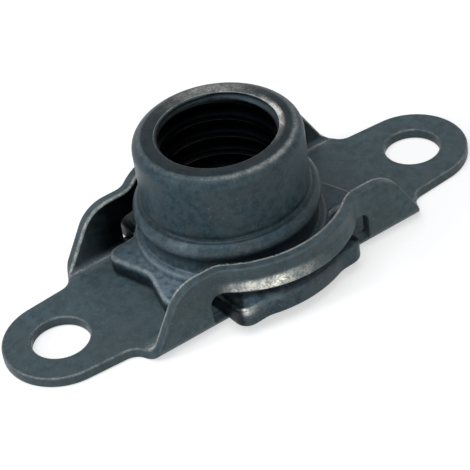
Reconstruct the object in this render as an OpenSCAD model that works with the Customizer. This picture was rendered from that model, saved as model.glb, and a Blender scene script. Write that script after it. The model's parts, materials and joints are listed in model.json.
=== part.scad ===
// Two-lug floating anchor nut: a pressed sheet cage, riveted down by its lugs, and the loose nut it holds.
// Lengths are in millimetres. X runs along the lugs, Z is the screw's axis, and Z = 0 is the riveted face.

/* [Sheet] */
// Thickness of the cage's sheet
sheet = 0.7; // [0.55:0.05:0.85]
// Inside radius of the folds at the feet of the walls
fold_r = 0.35; // [0.2:0.05:0.5]

/* [Lugs] */
// Distance between the two rivet holes
rivet_pitch = 25.4; // [24.8:0.1:28]
// Diameter of a rivet hole
rivet_hole_d = 3.4; // [2.6:0.1:3.8]
// Radius of a lug's round end
lug_r = 3.4; // [3:0.05:3.6]
// Angle at which a lug's edges spread towards the walls, in degrees
lug_taper = 4; // [2:0.5:6]
// Radius of the hollow where a lug's edge turns up into the end of a wall
notch_r = 0.9; // [0.5:0.05:1]
// Diameter of the clearance hole for the screw in the cage's floor
screw_hole_d = 9.4; // [8.6:0.1:10]

/* [Walls] */
// Length of a wall along its foot, where its fold begins
wall_len = 19.5; // [18.8:0.1:20]
// Width across the outsides of the straight wall ends
wall_width = 10.3; // [10.1:0.05:10.5]
// Height of a wall over the riveted face
wall_h = 4.2; // [3.9:0.05:4.6]
// Slope of a wall's two ends, in degrees
wall_slope = 60; // [56:1:64]
// Radius of a wall's round shoulders
shoulder_r = 2.2; // [1.6:0.1:2.6]
// Radius of the hollow at the foot of a sloping end, on the inside of the fold
toe_r = 0.75; // [0.6:0.05:0.9]

/* [Bulge and window] */
// Outside radius of the bulge that a wall makes round the nut
bulge_r = 7; // [6.9:0.05:7.15]
// Outside radius of the hollow where the bulge runs into the straight wall
run_r = 1.2; // [0.8:0.05:1.5]
// Length of the window in each wall
window_len = 11; // [10.6:0.1:11.4]
// Height of the window over the cage's floor
window_h = 1.85; // [1.7:0.05:2.2]
// How far the lip over the window stands out from the bulge
lip_reach = 0.35; // [0.2:0.05:0.5]
// Height of the flared lip
lip_h = 1; // [0.7:0.05:1.1]
// Chord of the bulge over which the lip swells and fades
lip_chord = 8.8; // [8:0.1:9.2]

/* [Nut plate] */
// Thickness of the nut's plate
plate_t = 1.3; // [1.1:0.05:1.45]
// Length of the plate over the points of its forked ends
plate_len = 14.2; // [13.4:0.1:14.8]
// Width of the plate across its forked ends
fork_width = 6.8; // [6.6:0.05:7]
// Depth of the notch in each forked end
fork_depth = 1; // [0.6:0.05:1.3]
// Radius at the root of that notch
fork_root_r = 0.5; // [0.3:0.05:0.8]
// Radius of the forked ends' corners
fork_corner_r = 0.8; // [0.4:0.05:1]
// Radius of the hollow corner between a forked end and an ear
ear_root_r = 0.4; // [0.2:0.05:0.6]
// Length of the ears that reach through the windows
ear_len = 8.9; // [8.6:0.05:9]
// Width of the plate across its ears
ear_width = 13.6; // [13.2:0.1:13.8]
// Radius of the ears' corners
ear_corner_r = 0.8; // [0.4:0.05:1.2]
// Radius of the plate's belly between the ears
belly_r = 7.3; // [7.2:0.05:7.4]

/* [Nut barrel] */
// Height of the nut from the plate's underside to the rim
nut_h = 8.25; // [7.4:0.05:9]
// Outside diameter of the barrel
barrel_d = 9.85; // [9.6:0.05:10.1]
// Rounding of the barrel's outer rim
rim_round_r = 0.7; // [0.4:0.05:0.9]
// Minor diameter of the thread, left as a plain bore
bore_d = 6.7; // [6.4:0.05:6.9]
// Diameter of the shallow counterbore in the rim
mouth_d = 7.1; // [6.95:0.05:7.6]
// Depth of that counterbore's straight wall
mouth_depth = 0.28; // [0.1:0.02:0.4]
// Depth of the cone from the counterbore to the bore
mouth_cone_h = 0.25; // [0.15:0.05:0.5]
// Depth of the countersink under the plate
lead_in_h = 0.6; // [0.3:0.05:0.8]
// Outside diameter of the bead round the foot of the barrel
bead_d = 11; // [10.8:0.05:11.1]
// Radius of the bead's rounded edge
bead_r = 0.65; // [0.5:0.05:0.7]
// Height of the bead's middle over the plate's underside
bead_z = 3.45; // [3.3:0.05:3.55]
// Diameter of the waist between the bead and the collar
waist_d = 10.4; // [10.2:0.05:10.6]
// Outside diameter of the collar that stands on the plate
collar_d = 11.3; // [11:0.05:11.35]
// Height of the collar over the plate
collar_h = 0.5; // [0.4:0.05:0.6]
// Rounding of the collar's upper edge
collar_round_r = 0.3; // [0.15:0.05:0.35]
// Radius of the fillet between the bead and the barrel
neck_fillet_r = 0.25; // [0.15:0.05:0.35]

/* [Float] */
// Where the loose nut lies from the cage's middle, along the lugs
nut_x = -0.55; // [-0.6:0.05:0.55]
// Where the loose nut lies from the cage's middle, across the lugs
nut_y = 0.15; // [-0.3:0.05:0.3]
// How far the loose nut is turned about its own axis, in degrees
nut_turn = 3; // [-3:0.5:3]

/* [Hidden] */
$fn = 96;
// How far cuts run past the faces they cut
over = 0.5;

// The fold: its outer radius, and the line across the cage where it leaves the flat floor
fold_out_r = fold_r + sheet;
half_width = wall_width / 2;
fold_line = half_width - fold_out_r;

// Outline of a wall seen from the side: toe, slope and shoulder are tangent to each other
half_len = wall_len / 2;
toe_run = toe_r * tan(wall_slope / 2);
slope_top_z = wall_h - shoulder_r * (1 - cos(wall_slope));
slope_foot_x = half_len - toe_run;
slope_top_x = slope_foot_x - (slope_top_z - sheet) / tan(wall_slope);
shoulder_x = slope_top_x - shoulder_r * sin(wall_slope);

// The lip: an arc that meets the bulge at the chord's ends and stands out most at the middle
window_top = sheet + window_h;
lip_half = lip_chord / 2;
lip_sagitta = bulge_r + lip_reach - sqrt(bulge_r * bulge_r - lip_half * lip_half);
lip_arc_r = (lip_half * lip_half + lip_sagitta * lip_sagitta) / (2 * lip_sagitta);
lip_axis_y = bulge_r + lip_reach - lip_arc_r;
lip_root_share = 1.2;

// The forked ends: slope of a notch's sides, and where they leave the root and end in a corner
fork_half = fork_width / 2;
fork_slant = atan(fork_depth / fork_half);
fork_centre_x = plate_len / 2 - fork_depth + fork_root_r;
fork_touch = [fork_centre_x - fork_root_r * cos(fork_slant), fork_root_r * sin(fork_slant)];
fork_tip = [fork_touch.x + (fork_half - fork_touch.y) * tan(fork_slant), fork_half];

// Heights in the nut, over its own underside
barrel_r = barrel_d / 2;
bead_ring_r = bead_d / 2 - bead_r;
waist_r = waist_d / 2;
collar_r = collar_d / 2;
mouth_cone_z = nut_h - mouth_depth;
cone_foot_z = mouth_cone_z - mouth_cone_h;
lead_in_r = bore_d / 2 + lead_in_h;

// Middle of the fillet that runs from the bead into the barrel
neck_r = barrel_r + neck_fillet_r;
neck_z = bead_z + sqrt(max(0, pow(bead_r + neck_fillet_r, 2) - pow(neck_r - bead_ring_r, 2)));

// Flat shape of the floor and lugs
module floor_plan() {
    for (side = [-1, 1], edge = [-1, 1]) scale([side, edge]) floor_quarter();
}

// A quarter of it: round lug, spreading edge, hollow, and the slope that runs on up the wall's end
module floor_quarter() {
    rivet_x = rivet_pitch / 2;
    edge_n = [sin(lug_taper), cos(lug_taper)];
    slope_n = [sin(wall_slope), cos(wall_slope)];
    edge_reach = lug_r + notch_r + edge_n.x * rivet_x;
    slope_reach = notch_r + slope_n * [half_len, fold_line];
    cross_n = edge_n.x * slope_n.y - edge_n.y * slope_n.x;
    hollow = [edge_reach * slope_n.y - slope_reach * edge_n.y,
        slope_reach * edge_n.x - edge_reach * slope_n.x] / cross_n;
    intersection() {
        translate([rivet_x, 0]) circle(lug_r);
        square([rivet_pitch, lug_r]);
    }
    difference() {
        polygon([[0, 0], [rivet_x, 0], [rivet_x, 0] + lug_r * edge_n, hollow - notch_r * edge_n, hollow,
            hollow - notch_r * slope_n, [half_len, fold_line], [0, fold_line]]);
        translate(hollow) circle(notch_r);
    }
}

// Plan of the two folds, with ends that carry on the slope of the floor's edges
module fold_plan() {
    draw_in = 2 * fold_out_r / tan(wall_slope);
    for (side = [-1, 1], edge = [-1, 1]) scale([side, edge]) polygon([[0, 0], [half_len, 0],
        [half_len, fold_line], [half_len - draw_in, fold_line + 2 * fold_out_r],
        [0, fold_line + 2 * fold_out_r]]);
}

// A square corner filled up to a quarter circle, with the corner at the origin
module hollow_corner(r) {
    difference() {
        square(r);
        translate([r, r]) circle(r);
    }
}

// Plan of the space inside a line that runs straight, swells round the nut and runs straight again
module swell_plan(half, swell_r, hollow_r) {
    hollow_y = half + hollow_r;
    hollow_x = sqrt(pow(swell_r + hollow_r, 2) - hollow_y * hollow_y);
    reach_share = swell_r / (swell_r + hollow_r);
    square([wall_len + 2 * over, 2 * half], center = true);
    circle(swell_r);
    for (side = [-1, 1], edge = [-1, 1]) scale([side, edge]) difference() {
        polygon([[0, 0], [reach_share * hollow_x, reach_share * hollow_y], [hollow_x, hollow_y],
            [hollow_x, half], [hollow_x, 0]]);
        translate([hollow_x, hollow_y]) circle(hollow_r);
    }
}

// Plan of both walls, one sheet thick
module wall_plan() {
    difference() {
        swell_plan(half_width, bulge_r, run_r);
        swell_plan(half_width - sheet, bulge_r - sheet, run_r + sheet);
    }
}

// Section of one fold, from the floor up to the start of the upright wall
module fold_section() {
    translate([fold_line, fold_out_r]) intersection() {
        difference() {
            circle(fold_out_r);
            circle(fold_r);
        }
        translate([0, -fold_out_r]) square(fold_out_r);
    }
}

// Side view of a wall: hollow toes, straight slopes, round shoulders and a level top
module bell() {
    translate([-slope_foot_x, 0]) square([2 * slope_foot_x, sheet]);
    polygon([[slope_foot_x, sheet], [slope_top_x, slope_top_z], [-slope_top_x, slope_top_z],
        [-slope_foot_x, sheet]]);
    translate([-shoulder_x, sheet]) square([2 * shoulder_x, wall_h - sheet]);
    for (side = [-1, 1]) scale([side, 1]) {
        intersection() {
            translate([shoulder_x, wall_h - shoulder_r]) circle(shoulder_r);
            translate([shoulder_x, slope_top_z]) square([shoulder_r, wall_h - slope_top_z]);
        }
        toe_fill();
    }
}

// The hollow between the slope's foot and the floor at the end of a wall
module toe_fill() {
    lift = toe_run * sin(wall_slope);
    back = toe_run * cos(wall_slope);
    difference() {
        polygon([[slope_foot_x - back, 0], [slope_foot_x - back, sheet + lift], [half_len, sheet + toe_r],
            [half_len, 0]]);
        translate([half_len, sheet + toe_r]) circle(toe_r);
    }
}

// Both walls with their folds, cut to the bell outline; the folds are drawn in at their ends as well
module walls() {
    intersection() {
        union() {
            translate([0, 0, fold_out_r]) linear_extrude(wall_h) wall_plan();
            intersection() {
                for (edge = [0, 1]) mirror([0, edge, 0]) rotate([90, 0, 90])
                    linear_extrude(wall_len, center = true) fold_section();
                linear_extrude(fold_out_r) fold_plan();
            }
        }
        rotate([90, 0, 0]) linear_extrude(4 * half_width, center = true) bell();
    }
}

// A ring wedge about the lip's own axis, offset outwards by a sheet or not
module lip_wedge(outer, low, inner) {
    translate([0, lip_axis_y, 0]) rotate_extrude() polygon([
        [inner, low],
        [outer + lip_reach * (window_top - low) / lip_h, low],
        [outer - lip_root_share * lip_reach, window_top + lip_root_share * lip_h],
        [inner, window_top + lip_root_share * lip_h]]);
}

// The cage: lugs, floor, folded walls, windows and their flared lips
module cage() color("#5d6568") difference() {
    union() {
        linear_extrude(sheet) floor_plan();
        difference() {
            union() {
                walls();
                for (edge = [0, 1]) mirror([0, edge, 0]) lip_front();
            }
            translate([-window_len / 2, -2 * half_width, sheet])
                cube([window_len, 4 * half_width, window_h]);
            for (edge = [0, 1]) mirror([0, edge, 0]) lip_relief();
        }
    }
    translate([0, 0, -over]) {
        cylinder(d = screw_hole_d, h = sheet + 2 * over);
        for (side = [-1, 1]) translate([side * rivet_pitch / 2, 0, 0])
            cylinder(d = rivet_hole_d, h = sheet + 2 * over);
    }
}

// The part of the lip outside the bulge's inner face
module lip_front() {
    difference() {
        intersection() {
            lip_wedge(lip_arc_r, window_top, lip_arc_r - sheet - lip_reach);
            translate([-lip_half, half_width - sheet, 0]) cube([lip_chord, 2 * half_width, wall_h]);
        }
        linear_extrude(wall_h) swell_plan(half_width - sheet, bulge_r - sheet, run_r + sheet);
    }
}

// The hollow under the lip, which keeps it one sheet thick
module lip_relief() {
    intersection() {
        lip_wedge(lip_arc_r - sheet, window_top - over, lip_arc_r - sheet - lip_reach - over);
        translate([-lip_half, half_width - sheet, 0]) cube([lip_chord, 2 * half_width, wall_h]);
    }
}

// Plan of the nut's plate: belly, two ears and two forked ends
module plate_plan() {
    intersection() {
        circle(belly_r);
        square([ear_len, 2 * belly_r], center = true);
    }
    square([ear_len, ear_width - 2 * ear_corner_r], center = true);
    square([ear_len - 2 * ear_corner_r, ear_width], center = true);
    for (side = [-1, 1], edge = [-1, 1]) scale([side, edge]) {
        translate([ear_len / 2 - ear_corner_r, ear_width / 2 - ear_corner_r]) circle(ear_corner_r);
        translate([ear_len / 2, fork_half]) hollow_corner(ear_root_r);
    }
    difference() {
        square([plate_len, fork_width], center = true);
        for (side = [-1, 1]) scale([side, 1]) {
            fork_notch();
            for (edge = [-1, 1]) scale([1, edge]) fork_corner();
        }
    }
}

// The notch in a forked end: two straight sides and a round root
module fork_notch() {
    end_x = plate_len / 2 + over;
    end_y = fork_touch.y + (end_x - fork_touch.x) / tan(fork_slant);
    translate([fork_centre_x, 0]) circle(fork_root_r);
    polygon([[fork_touch.x, -fork_touch.y], [end_x, -end_y], [end_x, end_y], fork_touch]);
}

// What is cut off a forked end's corner to leave it round
module fork_corner() {
    run = fork_corner_r * tan(45 + fork_slant / 2);
    end_on = [sin(fork_slant), cos(fork_slant)];
    end_out = [cos(fork_slant), -sin(fork_slant)];
    side_touch = fork_tip - [run, 0];
    end_touch = fork_tip - run * end_on;
    middle = side_touch - [0, fork_corner_r];
    difference() {
        polygon([middle, end_touch, end_touch + over * end_out, fork_tip + over * (end_out + end_on),
            side_touch + [0, over], side_touch]);
        translate(middle) circle(fork_corner_r);
    }
}

// A rectangle against the axis whose upper outer corner is round
module turned_step(r, h, round_r) {
    square([r, h - round_r]);
    square([r - round_r, h]);
    translate([r - round_r, h - round_r]) circle(round_r);
}

// Half section of the nut's barrel, bead, waist and collar
module barrel_section() {
    turned_step(barrel_r, nut_h, rim_round_r);
    turned_step(collar_r, plate_t + collar_h, collar_round_r);
    translate([bead_ring_r, bead_z]) circle(bead_r);
    translate([0, bead_z - bead_r]) square([bead_ring_r, 2 * bead_r]);
    difference() {
        polygon([[0, bead_z - bead_r], [bead_ring_r, bead_z], [neck_r, neck_z], [0, neck_z]]);
        translate([neck_r, neck_z]) circle(neck_fillet_r);
    }
    square([waist_r, bead_z]);
}

// The nut: plate and turned barrel in one piece, with its bore, counterbore and countersink
module nut() color("#6b7377") translate([nut_x, nut_y, sheet]) rotate([0, 0, nut_turn]) difference() {
    union() {
        linear_extrude(plate_t) plate_plan();
        rotate_extrude() barrel_section();
    }
    translate([0, 0, -over]) cylinder(d = bore_d, h = nut_h + 2 * over);
    translate([0, 0, mouth_cone_z]) cylinder(d = mouth_d, h = mouth_depth + over);
    translate([0, 0, cone_foot_z]) cylinder(d1 = bore_d, d2 = mouth_d, h = mouth_cone_h);
    translate([0, 0, -over]) cylinder(r1 = lead_in_r + over, r2 = bore_d / 2, h = lead_in_h + over);
}

cage();
nut();
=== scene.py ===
"""Looks of a two-lug floating anchor nut: a pressed sheet cage and the loose threaded nut in it."""

import json
import math
from types import SimpleNamespace

import bpy
import numpy as np
from bpy.props import FloatProperty, FloatVectorProperty, PointerProperty
from mathutils import Matrix, Vector
from mathutils.geometry import delaunay_2d_cdt


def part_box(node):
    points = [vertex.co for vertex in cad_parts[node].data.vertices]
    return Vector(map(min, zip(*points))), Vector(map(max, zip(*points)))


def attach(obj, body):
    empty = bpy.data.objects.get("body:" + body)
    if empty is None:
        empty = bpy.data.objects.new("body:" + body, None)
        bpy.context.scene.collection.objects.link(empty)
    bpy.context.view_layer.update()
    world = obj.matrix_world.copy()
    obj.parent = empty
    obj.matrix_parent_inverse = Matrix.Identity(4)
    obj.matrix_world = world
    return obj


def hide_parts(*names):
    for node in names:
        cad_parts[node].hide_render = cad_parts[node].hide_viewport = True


bl_info = {
    "name": "Floating anchor nut",
    "version": (1, 0, 0),
    "blender": (4, 5, 0),
    "location": "View3D > Sidebar > Anchor nut",
    "description": "Builds the cage, the nut and the studio of a two-lug floating anchor nut",
    "category": "Add Mesh",
}

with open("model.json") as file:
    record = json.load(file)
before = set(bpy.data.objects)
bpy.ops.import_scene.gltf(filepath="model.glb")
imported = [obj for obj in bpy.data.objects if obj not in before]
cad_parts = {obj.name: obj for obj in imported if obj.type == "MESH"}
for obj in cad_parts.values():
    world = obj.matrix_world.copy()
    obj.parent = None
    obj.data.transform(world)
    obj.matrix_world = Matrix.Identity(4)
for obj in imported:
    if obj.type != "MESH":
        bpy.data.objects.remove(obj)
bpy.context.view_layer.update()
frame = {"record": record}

MM = 0.001
IMAGE_WIDTH = 470
CAGE_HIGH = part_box("cage")[1]
NUT_LOW, NUT_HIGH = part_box("nut")
MOUNTS = {mount["name"]: mount for mount in frame["record"]["mounts"]}
RIVETS = MOUNTS["rivet_holes"]["dims"]
SCREW = MOUNTS["screw_thread"]

# Masks on the meshes' points: bare metal with painted highlights, painted shade, and a painted
# bluish sheen
WEAR_AND_HIGHLIGHT = "wear"
PAINTED_SHADE = "recess"
PAINTED_SHEEN = "burnish"


def length(name, description, metres, least=0.0):
    """A length, or a place along an axis, in metres."""
    return FloatProperty(name=name, description=description, default=metres, min=least, precision=5,
                         subtype="DISTANCE", unit="LENGTH")


def angle(name, description, degrees):
    """An angle, given in degrees and held in radians."""
    return FloatProperty(name=name, description=description, default=math.radians(degrees),
                         subtype="ANGLE", unit="ROTATION")


def colour(name, description, rgb):
    """A colour in linear red, green and blue."""
    return FloatVectorProperty(name=name, description=description, default=rgb, size=3,
                               min=0.0, max=1.0, subtype="COLOR")


def power(name, description, watts):
    """The power of a lamp."""
    return FloatProperty(name=name, description=description, default=watts, min=0.0, unit="POWER")


class CageSizes(bpy.types.PropertyGroup):
    """Sizes of the pressed sheet cage."""

    sheet: length("Sheet", "Thickness of the sheet", NUT_LOW.z)
    edge_round: length("Edge rounding", "Rounding of the cut edges", 0.13 * MM)
    fold_in: length("Fold", "Inside radius of the folds", 0.35 * MM)
    rivet_pitch: length("Rivet pitch", "Distance between rivet holes", RIVETS["spacing_x_mm"] * MM)
    rivet_hole: length("Rivet hole", "Radius of a rivet hole", RIVETS["hole_r_mm"] * MM)
    lug: length("Lug", "Radius of a lug's round end", CAGE_HIGH.x - RIVETS["spacing_x_mm"] * MM / 2)
    lug_taper: angle("Lug taper", "Angle at which a lug's edges spread towards the walls", 4)
    notch: length("Hollow", "Radius of the hollow between a lug and a wall", 0.9 * MM)
    screw_hole: length("Screw hole", "Radius of the floor's clearance hole", 4.7 * MM)
    wall_len: length("Wall length", "Length of a wall at the start of its fold", 19.5 * MM)
    wall_width: length("Wall width", "Width across the straight wall ends", 10.3 * MM)
    wall_height: length("Wall height", "Height of the walls", CAGE_HIGH.z)
    wall_slope: angle("Wall slope", "Slope of the ends of a wall", 60)
    shoulder: length("Shoulder", "Radius of a wall's shoulders", 2.2 * MM)
    bulge: length("Bulge", "Outside radius of the bulge round the nut", 7 * MM)
    run_out: length("Run-out", "Outside radius of the hollow at the bulge's ends", 1.2 * MM)
    window_len: length("Window length", "Length of the window in a wall", 11 * MM)
    window_height: length("Window height", "Height of the window over the floor", 1.85 * MM)
    window_corner: length("Window corner", "Radius of the window's upper corners", 0.5 * MM)
    lip_reach: length("Lip reach", "How far the lip over the window stands out", 0.35 * MM)
    lip_height: length("Lip height", "Height of the flared lip", 1 * MM)
    lip_chord: length("Lip chord", "Chord of the bulge over which the lip fades out", 8.8 * MM)


class NutSizes(bpy.types.PropertyGroup):
    """Sizes of the loose nut."""

    axis_x: length("Axis X", "Place of the axis along the lugs", SCREW["pos_m"][0], least=-1.0)
    axis_y: length("Axis Y", "Place of the axis across the lugs", SCREW["pos_m"][1], least=-1.0)
    turn: angle("Turn", "How far the loose nut is turned about its own axis", 3)
    height: length("Height", "Height of the nut", NUT_HIGH.z - NUT_LOW.z)
    plate: length("Plate", "Thickness of the plate", 1.3 * MM)
    plate_len: length("Plate length", "Length over the points of the forked ends", 14.2 * MM)
    plate_edge: length("Plate edge", "Rounding of the plate's edges", 0.25 * MM)
    fork_width: length("Fork width", "Width of the forked ends", 6.8 * MM)
    fork_depth: length("Fork depth", "Depth of the notch in a forked end", 1 * MM)
    fork_root: length("Fork root", "Radius at the root of that notch", 0.5 * MM)
    fork_corner: length("Fork corner", "Radius of the forked ends' corners", 0.8 * MM)
    inner_corner: length("Inner corner", "Radius between a forked end and an ear", 0.4 * MM)
    ear_len: length("Ear length", "Length of the ears", 8.9 * MM)
    ear_width: length("Ear width", "Width across the ears", 13.6 * MM)
    ear_corner: length("Ear corner", "Radius of the ears' corners", 0.8 * MM)
    belly: length("Belly", "Radius of the belly between the ears", 7.3 * MM)
    collar: length("Collar", "Radius of the collar on the plate", 5.65 * MM)
    collar_height: length("Collar height", "Height of the collar over the plate", 0.5 * MM)
    collar_round: length("Collar rounding", "Rounding of the collar's upper edge", 0.3 * MM)
    waist: length("Waist", "Radius of the groove between collar and bead", 5.2 * MM)
    bead: length("Bead", "Radius of the bead's crown", 5.5 * MM)
    bead_round: length("Bead rounding", "Radius of the bead's section", 0.65 * MM)
    bead_height: length("Bead height", "Height of the bead's middle", 3.45 * MM)
    neck: length("Neck", "Radius of the fillet between bead and barrel", 0.25 * MM)
    barrel: length("Barrel", "Outside radius of the barrel", 4.925 * MM)
    rim: length("Rim", "Rounding of the barrel's outer rim", 0.7 * MM)
    mouth: length("Mouth", "Radius of the mouth at the rim", 3.55 * MM)
    thread_minor: length("Thread crest", "Radius at the thread crests", SCREW["dims"]["r_mm"] * MM)
    thread_root: length("Thread root", "Radius at the thread roots", 4 * MM)
    thread_pitch: length("Thread pitch", "Rise of the thread in one turn", 1.25 * MM)
    lead_in: length("Lead-in", "Radius of the countersink under the plate", 3.95 * MM)


class FinishLook(bpy.types.PropertyGroup):
    """Colours and gloss of the dark phosphated steel."""

    cage_tone: colour("Cage", "Colour of the cage's steel", (0.066, 0.104, 0.119))
    nut_tone: colour("Nut", "Colour of the nut's steel", (0.035, 0.065, 0.082))
    stain_tone: colour("Stain", "Colour of the greyer blotches", (0.066, 0.082, 0.090))
    # Painted sheen: a lighter bluish colour on the plate's top, the collar and the bead's lit side,
    # standing in for light
    burnish_tone: colour("Burnish", "Colour of the burnished plate and bead", (0.18, 0.24, 0.285))
    # Painted shade: near black, laid over the thread, the grooves, the plate's end walls and the
    # walls' inner faces; the rim's top is darkened towards it too
    soot_tone: colour("Soot", "Colour of the unworn, oily insides", (0.001, 0.0015, 0.002))
    # Colour of worn bare edges, also used for the painted highlights and reflections and for the
    # grain's specks
    bare_tone: colour("Bare steel", "Colour of the worn, bare edges", (0.70, 0.69, 0.64))
    roughness: FloatProperty(name="Roughness", description="Roughness of the coating", default=0.37,
                             min=0.0, max=1.0, subtype="FACTOR")
    refraction: FloatProperty(name="Refraction", description="Refractive index of the coating",
                              default=1.24, min=1.0)


class StageLook(bpy.types.PropertyGroup):
    """Camera, floor and lamps."""

    view_azimuth: angle("Azimuth", "Direction from which the camera looks", -28.8968)
    view_elevation: angle("Elevation", "Height of the camera's direction", 39.1977)
    view_roll: angle("Roll", "Turn of the camera about its own axis", 9.1756)
    view_distance: length("Distance", "Distance of the camera from the part", 115.12 * MM)
    aim_x: length("Aim right", "Shift of the part right in the view", 0.5827 * MM, least=-1.0)
    aim_y: length("Aim up", "Shift of the part up in the view", -0.6943 * MM, least=-1.0)
    focal_pixels: FloatProperty(name="Focal length", description="Focal length in image pixels",
                                default=1946.09)
    floor_tone: colour("Floor", "Colour of the floor", (0.7, 0.7, 0.7))
    floor_radius: length("Floor radius", "Radius of the floor", 900 * MM)
    top_power: power("Top", "Power of the large lamp overhead", 0.76)
    side_power: power("Side", "Power of the cool lamp at the left", 0.22)
    front_power: power("Front", "Power of the low, warm lamp in front", 0.14)
    room_tone: colour("Room", "Colour of the dim room round the part", (0.10, 0.11, 0.12))


def in_mm(group):
    """A group's values by name: lengths in millimetres, everything else as it is."""
    values = {}
    for name in type(group).__annotations__:
        unit = MM if group.bl_rna.properties[name].unit == "LENGTH" else 1
        values[name] = getattr(group, name) / unit
    return SimpleNamespace(**values)


# Curves

def arc(centre, radius, start, end, count=12):
    """Arc: the centre plus the radius times cosine and sine of evenly spaced angles in radians."""
    turn = np.linspace(start, end, count)
    return np.array(centre) + radius * np.column_stack([np.cos(turn), np.sin(turn)])


def even_steps(points, step):
    """A closed path at even steps, each coordinate read off against the length walked so far."""
    path = np.vstack([points, points[:1]])
    walked = np.concatenate([[0], np.cumsum(np.linalg.norm(np.diff(path, axis=0), axis=1))])
    stations = np.linspace(0, walked[-1], math.ceil(walked[-1] / step), endpoint=False)
    return np.column_stack([np.interp(stations, walked, path[:, axis]) for axis in (0, 1)])


def four_quarters(quarter):
    """A whole outline, counter-clockwise, from its quarter between the +X and the +Y axis."""
    back = quarter[::-1]
    parts = [quarter, back * [-1, 1], quarter * [-1, -1], back * [1, -1]]
    return np.vstack([part[:-1] for part in parts])


def left_normals(path):
    """Unit vectors to the left of a closed path: chords between neighbours, turned a quarter."""
    chord = np.roll(path, -1, axis=0) - np.roll(path, 1, axis=0)
    normal = np.column_stack([-chord[:, 1], chord[:, 0]])
    return normal / np.linalg.norm(normal, axis=1, keepdims=True)


def soften(path, passes):
    """Eases a closed path's corners: each point moves halfway to the mean of its neighbours."""
    for _ in range(passes):
        path = (np.roll(path, 1, axis=0) + 2 * path + np.roll(path, -1, axis=0)) / 4
    return path


def ramp(values, start, run):
    """Nothing up to the start, then rising evenly over the run to one."""
    return np.clip((values - start) / run, 0, 1)


def bell(away, width):
    """A bell curve: e to the power of minus the square of the distance over the width."""
    return np.exp(-(away / width) ** 2)


def painted_spot(turn, strength, degrees, width):
    """A painted highlight spot round the axis: its strength times a bell curve of the angle from
    its middle.
    """
    return strength * bell(turn - math.radians(degrees), width)


def lobe(turn, degrees, sharpness):
    """A lobe round the axis: the cosine of the angle from its middle, at least zero, to a power."""
    return np.clip(np.cos(turn - math.radians(degrees)), 0, 1) ** sharpness


def add_object(name, data):
    """A new object in the scene for a mesh, a lamp or a camera."""
    thing = bpy.data.objects.new(name, data)
    bpy.context.scene.collection.objects.link(thing)
    return thing


def add_piece(name, shape, material, body, node):
    """Puts arrays in millimetres into a mesh object that rides on a body and stands for a node."""
    vertices, faces, masks = shape
    mesh = bpy.data.meshes.new(name)
    mesh.from_pydata((vertices * MM).tolist(), [], faces)
    mesh.polygons.foreach_set("use_smooth", np.ones(len(mesh.polygons), bool))
    for mask_name, mask in masks.items():
        layer = mesh.attributes.new(mask_name, "FLOAT", "POINT")
        layer.data.foreach_set("value", mask.astype(np.float32))
    mesh.materials.append(material)
    mesh.validate()
    piece = add_object(name, mesh)
    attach(piece, body)
    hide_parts(node)


# The cage: a flat blank, folded up and pressed out

# Steps and margins of its mesh, in millimetres
RIM_STEP = 0.12
RIM_MARGIN = 0.05
GRID_MARGIN = 0.1
GRID_STEP = 0.2
FLOOR_ROWS = 0.4
FOLD_ROWS = 0.1
WINDOW_ROWS = 0.2
WALL_ROWS = 0.11
FINITE_STEP = 0.001
TRIANGLE_SLACK = 0.003
MERGE_DISTANCE = 1e-5
# Kind of triangulation: inside the outline and outside its holes
INSIDE_WITH_HOLES = 2

# Shares of an edge's rounding, a window corner, the lip's height, the rounding's turn and the sheet
SCREW_EDGE_SHARE = 0.3
FOOT_CORNER_SHARE = 0.5
LIP_CREASE = 0.3
RIDGE_START = 0.2
INNER_FACE = 0.49

# Worn edges, painted highlights and painted shade: the strength of the mask, and places and lengths
# in millimetres
EDGE_RUB = 0.4
OUTER_RUB = 0.1
SILL_RUB = 0.05
# Painted highlight lines along the walls' top edges, strongest near one end of each wall
RIDGE_HIGHLIGHT = 0.9
TOP_HIGHLIGHT = 3.6
TOP_HIGHLIGHT_PLACE = 3.2
TOP_HIGHLIGHT_LENGTH = 2.6
# Painted highlight band on the lip over each window
LIP_HIGHLIGHT = 3.0
LIP_HIGHLIGHT_PLACE = 3.4
LIP_HIGHLIGHT_SHORT = 0.8
LIP_HIGHLIGHT_LONG = 2.5
LIP_HIGHLIGHT_HEIGHT = 0.8
LIP_HIGHLIGHT_FADE = 0.3
# Painted highlight line along the fold near the wall ends
CREASE_HIGHLIGHT = 0.8
CREASE_SHIFT = 0.1
CREASE_WIDTH = 0.16
CREASE_START = 5.6
CREASE_FADE = 1.5
# Painted shade on the walls' inner faces, fading towards the wall ends
WALL_SHADE = 0.9
SHADE_END = 8.8
SHADE_FADE = 2.6
SHADE_LEAST = 0.15


def add_fold_sizes(c):
    """Adds the fold's radii, where it leaves the floor and where it ends, and the heights on the
    flat blank, where a fold is as long as its middle radius times its angle."""
    c.fold_out = c.fold_in + c.sheet
    c.fold_mid = c.fold_in + c.sheet / 2
    c.fold_line = c.wall_width / 2 - c.fold_out
    c.fold_end = c.fold_line + c.fold_mid * math.pi / 2
    c.window_top = c.sheet + c.window_height
    c.blank_top = c.fold_end + c.wall_height - c.fold_out
    c.blank_window_top = c.fold_end + c.window_top - c.fold_out
    c.blank_window_foot = c.fold_line + c.fold_mid * math.acos(1 - c.sheet / c.fold_out)


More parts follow.
